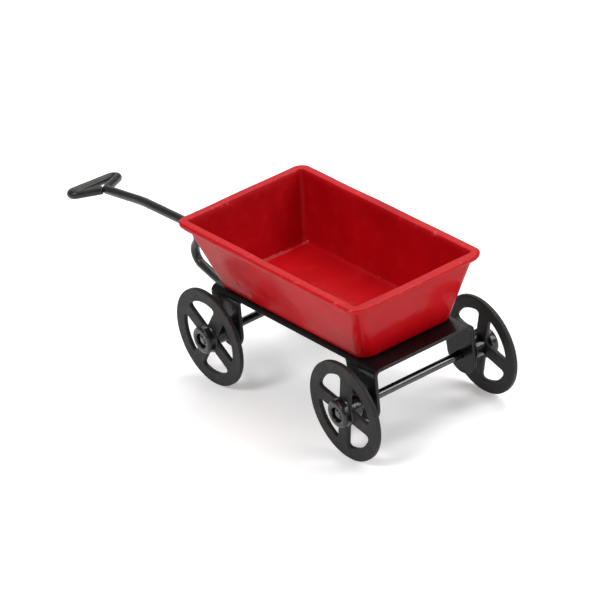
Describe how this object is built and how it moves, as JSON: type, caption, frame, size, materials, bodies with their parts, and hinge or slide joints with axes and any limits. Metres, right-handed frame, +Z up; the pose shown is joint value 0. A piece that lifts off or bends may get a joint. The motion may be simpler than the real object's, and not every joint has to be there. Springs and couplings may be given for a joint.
{
  "type": "wagon with pull handle",
  "caption": "Miniature metal pull wagon: open enamelled tub on a folded sheet chassis, pierced disc wheels on wire axles and a hinged bent-wire handle.",
  "frame": {"origin": "on the floor, under the middle of the overall length and width", "axes": "+X the way the wagon is pulled, +Y its left side, +Z up"},
  "size_m": [0.1232, 0.0402, 0.0348],
  "materials": {
    "red_enamel": "glossy enamel",
    "black_enamel": "glossy enamel",
    "wheel_black": "satin",
    "hub_black": "satin",
    "axle_black": "glossy",
    "handle_black": "satin"
  },
  "bodies": {
    "wagon": {"tub": "red_enamel", "chassis": "black_enamel", "front_axle": "axle_black", "rear_axle": "axle_black", "spacer_front_left": "axle_black", "spacer_front_right": "axle_black", "spacer_rear_left": "axle_black", "spacer_rear_right": "axle_black", "collar_front_left": "axle_black", "collar_front_right": "axle_black", "collar_rear_left": "axle_black", "collar_rear_right": "axle_black"},
    "front_left_wheel": {"wheel_front_left": "wheel_black", "hub_front_left": "hub_black"},
    "front_right_wheel": {"wheel_front_right": "wheel_black", "hub_front_right": "hub_black"},
    "rear_left_wheel": {"wheel_rear_left": "wheel_black", "hub_rear_left": "hub_black"},
    "rear_right_wheel": {"wheel_rear_right": "wheel_black", "hub_rear_right": "hub_black"},
    "handle": {"pull_handle": "handle_black"}
  },
  "joints": [
    {"name": "front_left_spin", "type": "hinge", "parent": "wagon", "child": "front_left_wheel", "pos_m": [-0.00543, 0.0177, 0.0109], "axis": [0, 1, 0], "continuous": true},
    {"name": "front_right_spin", "type": "hinge", "parent": "wagon", "child": "front_right_wheel", "pos_m": [-0.00543, -0.0177, 0.0109], "axis": [0, 1, 0], "continuous": true},
    {"name": "rear_left_spin", "type": "hinge", "parent": "wagon", "child": "rear_left_wheel", "pos_m": [-0.05074, 0.0177, 0.0109], "axis": [0, 1, 0], "continuous": true},
    {"name": "rear_right_spin", "type": "hinge", "parent": "wagon", "child": "rear_right_wheel", "pos_m": [-0.05074, -0.0177, 0.0109], "axis": [0, 1, 0], "continuous": true},
    {"name": "handle_tilt", "type": "hinge", "parent": "wagon", "child": "handle", "pos_m": [-0.00543, 0, 0.0109], "axis": [0, -1, 0], "range_deg": [-13.5, 61]}
  ]
}
